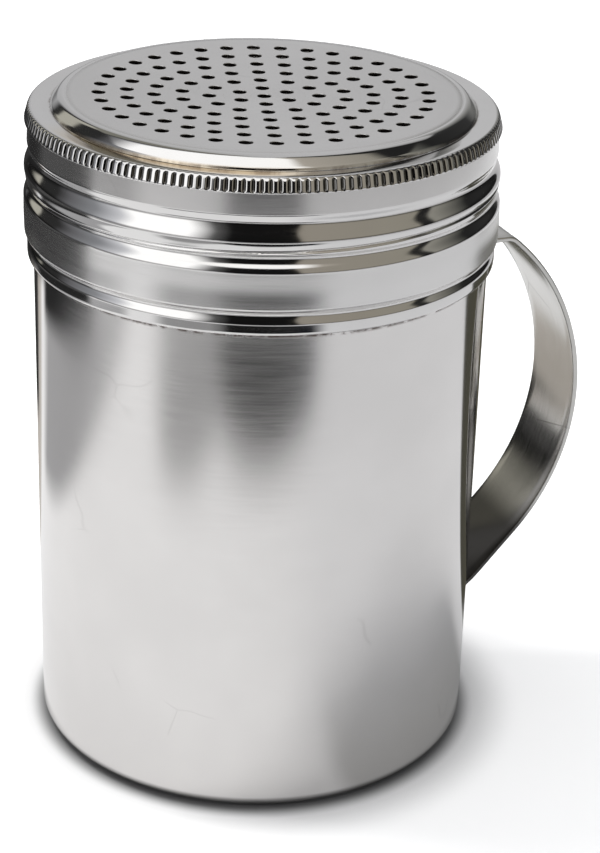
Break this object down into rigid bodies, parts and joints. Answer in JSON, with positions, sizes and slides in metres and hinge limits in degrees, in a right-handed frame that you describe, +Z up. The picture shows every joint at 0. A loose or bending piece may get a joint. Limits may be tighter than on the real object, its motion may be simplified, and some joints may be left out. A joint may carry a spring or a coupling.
{
  "type": "spice shaker",
  "caption": "Round steel spice shaker with a straight cup, a perforated knurled screw lid and a bent strap handle on one side.",
  "frame": {"origin": "The centre of the cup's flat floor, on the cup's axis, on the table.", "axes": "+Z is up along the cup's axis, which is the longest extent. The handle stands out along +X. The overall width across the lid, along Y, is the shortest extent."},
  "size_m": [0.0901, 0.0726, 0.1051],
  "materials": {
    "cup_steel": "stainless sheet, brushed round the cup",
    "lid_steel": "stainless sheet, bright with a satin disc",
    "strap_steel": "stainless strap, satin with brushed cut edges",
    "weld_steel": "pressed weld marks with a light heat tint"
  },
  "bodies": {
    "shaker": {"cup": "cup_steel", "handle": "strap_steel", "upper_welds": "weld_steel", "lower_welds": "weld_steel"},
    "cap": {"lid": "lid_steel"}
  },
  "joints": [
    {"name": "lid_lift", "type": "slide", "parent": "shaker", "child": "cap", "axis": [0, 0, 1], "range_m": [0, 0.06]}
  ]
}
